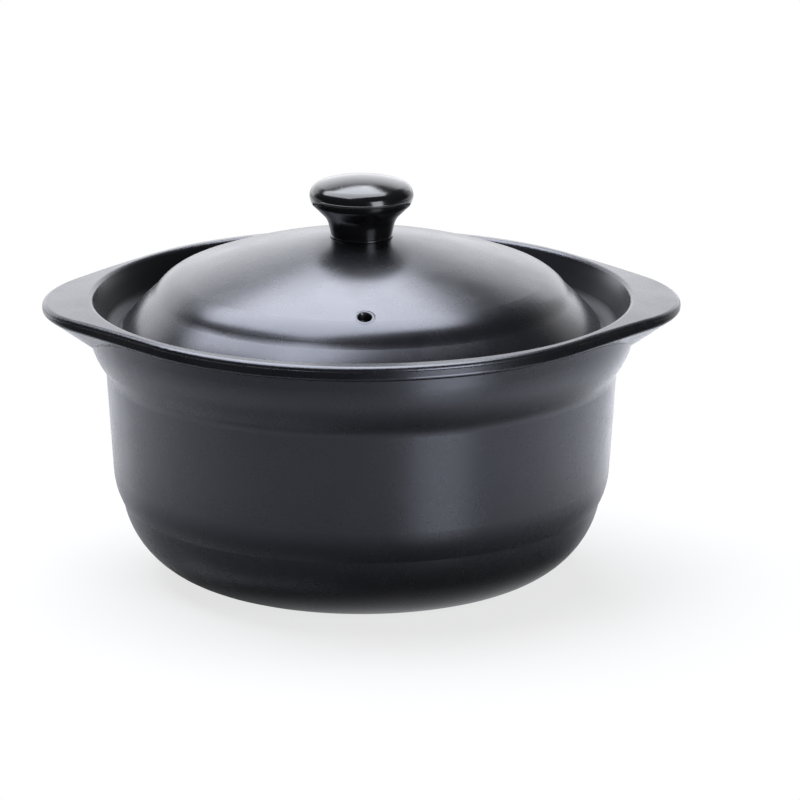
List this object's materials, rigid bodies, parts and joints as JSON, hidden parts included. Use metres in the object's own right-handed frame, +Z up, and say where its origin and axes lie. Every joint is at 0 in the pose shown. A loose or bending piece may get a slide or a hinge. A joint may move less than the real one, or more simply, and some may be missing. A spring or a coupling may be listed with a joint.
{
  "type": "chinese sand pot",
  "caption": "Round black glazed stoneware casserole with a flared collar, ear handles and a domed lid with a steam vent and a mushroom knob screwed on from below.",
  "frame": {"origin": "middle of the footprint, on the surface that the foot ring stands on", "axes": "+Z up along the pot's and lid's common axis, +X through the right-hand ear, -Y towards the side with the steam vent"},
  "size_m": [0.262, 0.2272, 0.1664],
  "materials": {
    "pot_glaze": "satin black glaze",
    "lid_glaze": "satin black glaze",
    "knob_plastic": "polished black moulding",
    "insert_brass": "machined",
    "seal_rubber": "matt silicone",
    "screw_steel": "plain stainless"
  },
  "bodies": {
    "pot": {"pot_body": "pot_glaze"},
    "lid_set": {"lid": "lid_glaze", "lid_knob": "knob_plastic", "knob_insert": "insert_brass", "seal_washer": "seal_rubber", "plain_washer": "screw_steel", "knob_screw": "screw_steel"}
  },
  "joints": [
    {"name": "lid_lift", "type": "slide", "parent": "pot", "child": "lid_set", "axis": [0, 0, 1], "range_m": [0, 0.09]}
  ]
}
